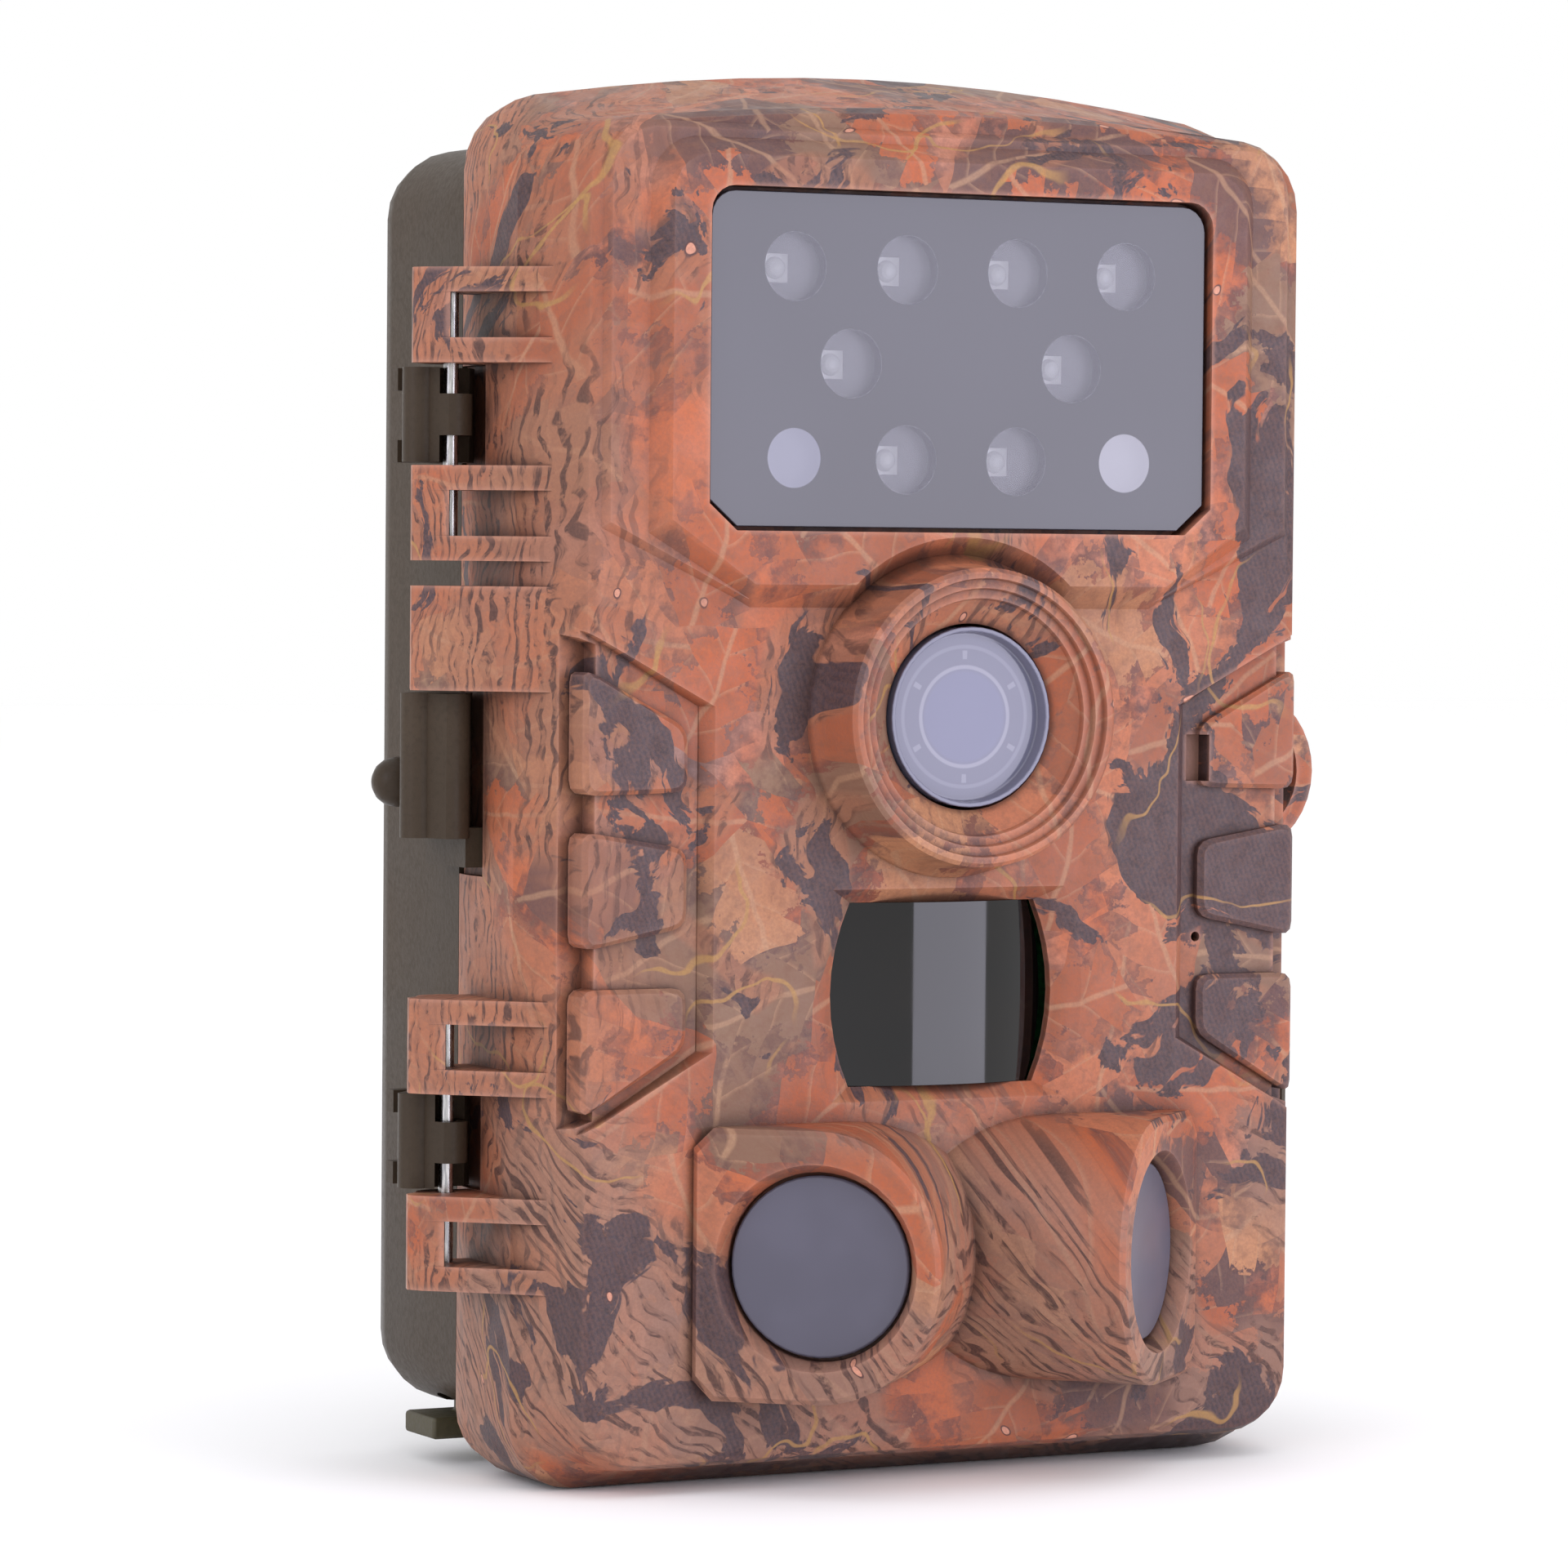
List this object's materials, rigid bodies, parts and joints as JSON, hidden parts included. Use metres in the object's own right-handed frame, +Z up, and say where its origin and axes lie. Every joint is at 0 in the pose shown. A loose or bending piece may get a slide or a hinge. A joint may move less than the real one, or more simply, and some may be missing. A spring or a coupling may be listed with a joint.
{
  "type": "trail camera",
  "caption": "Trail camera with a hinged front door, infrared lamp panel, lens, motion sensor windows and a rear case with batteries.",
  "frame": {"origin": "middle of the flat base face of the front door's rim, below the middle of its rim band", "axes": "+Z up, front of the camera towards -Y, +X to the right as seen from the front"},
  "size_m": [0.1033, 0.0717, 0.1395],
  "materials": {
    "camo_plastic": "matt printed camouflage film on moulded plastic",
    "olive_plastic": "semi-matt",
    "olive_rubber": "soft, slightly see-through",
    "steel": "turned",
    "brass": "plain insert",
    "window_plastic": "polished smoked cover",
    "black_gloss": "polished",
    "black_plastic": "fine matt",
    "board": "solder-mask green",
    "lamp": "clear moulded",
    "sensor_can": "nickel plated",
    "rubber": "soft",
    "cell": "plain printed sleeve",
    "switch_knob": "moulded"
  },
  "bodies": {
    "rear_case": {"rear_housing": "olive_plastic", "seal_ring": "rubber", "battery_1": "cell", "battery_2": "cell", "battery_3": "cell", "battery_4": "cell", "battery_5": "cell", "battery_6": "cell", "battery_7": "cell", "battery_8": "cell", "battery_tray": "black_plastic", "upper_contact_left": "sensor_can", "upper_contact_right": "sensor_can", "lower_contact_left": "sensor_can", "lower_contact_right": "sensor_can", "tripod_insert": "brass", "power_socket": "black_plastic", "tree_bracket": "olive_plastic", "upper_latch_pin": "steel", "lower_latch_pin": "steel", "battery_lead": "rubber"},
    "front_door": {"front_housing": "camo_plastic", "led_window": "window_plastic", "led_board": "black_plastic", "ir_led_1": "lamp", "ir_led_2": "lamp", "ir_led_3": "lamp", "ir_led_4": "lamp", "ir_led_5": "lamp", "ir_led_6": "lamp", "ir_led_7": "lamp", "ir_led_8": "lamp", "light_sensor": "lamp", "indicator_led": "lamp", "lens_cover": "window_plastic", "lens_barrel": "black_plastic", "center_sensor_window": "black_gloss", "center_sensor": "sensor_can", "left_sensor_window": "window_plastic", "left_sensor": "sensor_can", "right_sensor_window": "window_plastic", "right_sensor": "sensor_can", "main_board": "board", "display": "black_plastic", "speaker": "black_plastic", "memory_card": "black_plastic", "inner_cover": "black_plastic", "board_lead": "rubber", "upper_hinge_pin": "steel", "lower_hinge_pin": "steel"},
    "upper_latch": {"upper_latch": "olive_plastic"},
    "lower_latch": {"lower_latch": "olive_plastic"},
    "port_plug": {"port_plug": "olive_rubber"},
    "power_switch": {"power_switch": "switch_knob"},
    "button_up": {"button_up": "rubber"},
    "button_down": {"button_down": "rubber"},
    "button_menu": {"button_menu": "rubber"},
    "button_ok": {"button_ok": "rubber"}
  },
  "joints": [
    {"name": "door_hinge", "type": "hinge", "parent": "rear_case", "child": "front_door", "pos_m": [-0.0471, 0.003, 0.07], "axis": [0, 0, -1], "range_deg": [0, 120]},
    {"name": "upper_latch_hinge", "type": "hinge", "parent": "rear_case", "child": "upper_latch", "pos_m": [0.0457, 0.018, 0.105], "axis": [0, 0, 1], "range_deg": [0, 100]},
    {"name": "lower_latch_hinge", "type": "hinge", "parent": "rear_case", "child": "lower_latch", "pos_m": [0.0457, 0.018, 0.033], "axis": [0, 0, 1], "range_deg": [0, 100]},
    {"name": "port_plug_flap", "type": "hinge", "parent": "rear_case", "child": "port_plug", "pos_m": [-0.0276, 0.019, 0.0034], "axis": [0, -1, 0], "range_deg": [0, 80]},
    {"name": "power_switch_slide", "type": "slide", "parent": "front_door", "child": "power_switch", "axis": [1, 0, 0], "range_m": [0, 0.004]},
    {"name": "button_up_press", "type": "slide", "parent": "front_door", "child": "button_up", "axis": [0, -1, 0], "range_m": [0, 0.001], "stiffness_N_per_m": 300},
    {"name": "button_down_press", "type": "slide", "parent": "front_door", "child": "button_down", "axis": [0, -1, 0], "range_m": [0, 0.001], "stiffness_N_per_m": 300},
    {"name": "button_menu_press", "type": "slide", "parent": "front_door", "child": "button_menu", "axis": [0, -1, 0], "range_m": [0, 0.001], "stiffness_N_per_m": 300},
    {"name": "button_ok_press", "type": "slide", "parent": "front_door", "child": "button_ok", "axis": [0, -1, 0], "range_m": [0, 0.001], "stiffness_N_per_m": 300}
  ]
}
